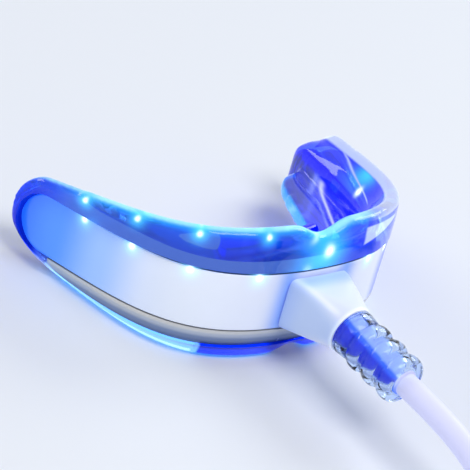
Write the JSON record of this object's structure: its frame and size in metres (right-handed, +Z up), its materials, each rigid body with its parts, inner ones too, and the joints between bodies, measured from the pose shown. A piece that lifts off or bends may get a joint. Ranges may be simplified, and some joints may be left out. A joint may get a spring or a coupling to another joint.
{
  "type": "led teeth whitening device",
  "caption": "Curved mouth tray of clear silicone on a lit light unit, with a bite plate inside, a cable neck, a ribbed strain relief, a coiled cord and a flat plug.",
  "frame": {"origin": "under the middle of the tray, light unit and strain relief, at the surface they stand on", "axes": "+Z up, -Y toward the front where the cord leaves, +Y along the two open arms, +X across the arms"},
  "size_m": [0.1006, 0.1467, 0.0241],
  "materials": {
    "clear_silicone": "clear soft silicone, glossy, lit blue from inside",
    "white_shell": "white moulded shell, glossy",
    "grey_trim": "cool grey trim, glossy",
    "clear_lens": "clear diffusing window",
    "board": "white coated flexible board",
    "led_lens": "cold blue light chip",
    "black_epoxy": "black epoxy",
    "dark_ceramic": "dark ceramic",
    "grey_rubber": "soft grey ring",
    "red_insulation": "red wire insulation",
    "black_insulation": "black wire insulation",
    "crimp_metal": "plain metal",
    "cord_jacket": "pale cord jacket, satin",
    "clear_boot": "clear flexible boot",
    "tie_rubber": "dark tie",
    "plug_plastic": "pale moulded plug",
    "shell_steel": "bright plated steel",
    "tongue_plastic": "white tongue",
    "contact_gold": "gold plated contact"
  },
  "bodies": {
    "tray": {"tray": "clear_silicone"},
    "light_unit": {"front_cover": "white_shell", "lower_bezel": "grey_trim", "lens_window": "clear_lens", "led_board": "board", "led_upper_1": "led_lens", "led_upper_2": "led_lens", "led_upper_3": "led_lens", "led_upper_4": "led_lens", "led_upper_5": "led_lens", "led_upper_6": "led_lens", "led_upper_7": "led_lens", "led_upper_8": "led_lens", "led_upper_9": "led_lens", "led_lower_1": "led_lens", "led_lower_2": "led_lens", "led_lower_3": "led_lens", "led_lower_4": "led_lens", "led_lower_5": "led_lens", "led_lower_6": "led_lens", "led_lower_7": "led_lens", "led_lower_8": "led_lens", "led_lower_9": "led_lens", "driver_chip": "black_epoxy", "resistor_1": "dark_ceramic", "resistor_2": "dark_ceramic", "cable_neck": "white_shell", "neck_seal": "grey_rubber", "wire_red": "red_insulation", "wire_black": "black_insulation", "cord_crimp": "crimp_metal", "strain_core": "cord_jacket", "ribbed_boot": "clear_boot", "cord_stretch": "cord_jacket", "cord_coil": "cord_jacket", "coil_tie": "tie_rubber", "cord_tail": "cord_jacket", "plug_relief": "plug_plastic", "plug_body": "plug_plastic", "plug_shell": "shell_steel", "plug_tongue": "tongue_plastic", "plug_contact_1": "contact_gold", "plug_contact_2": "contact_gold", "plug_contact_3": "contact_gold", "plug_contact_4": "contact_gold"}
  },
  "joints": [
    {"name": "light_unit_slide", "type": "slide", "parent": "tray", "child": "light_unit", "axis": [0, -0.9944, 0.1055], "range_m": [0, 0.045]}
  ]
}
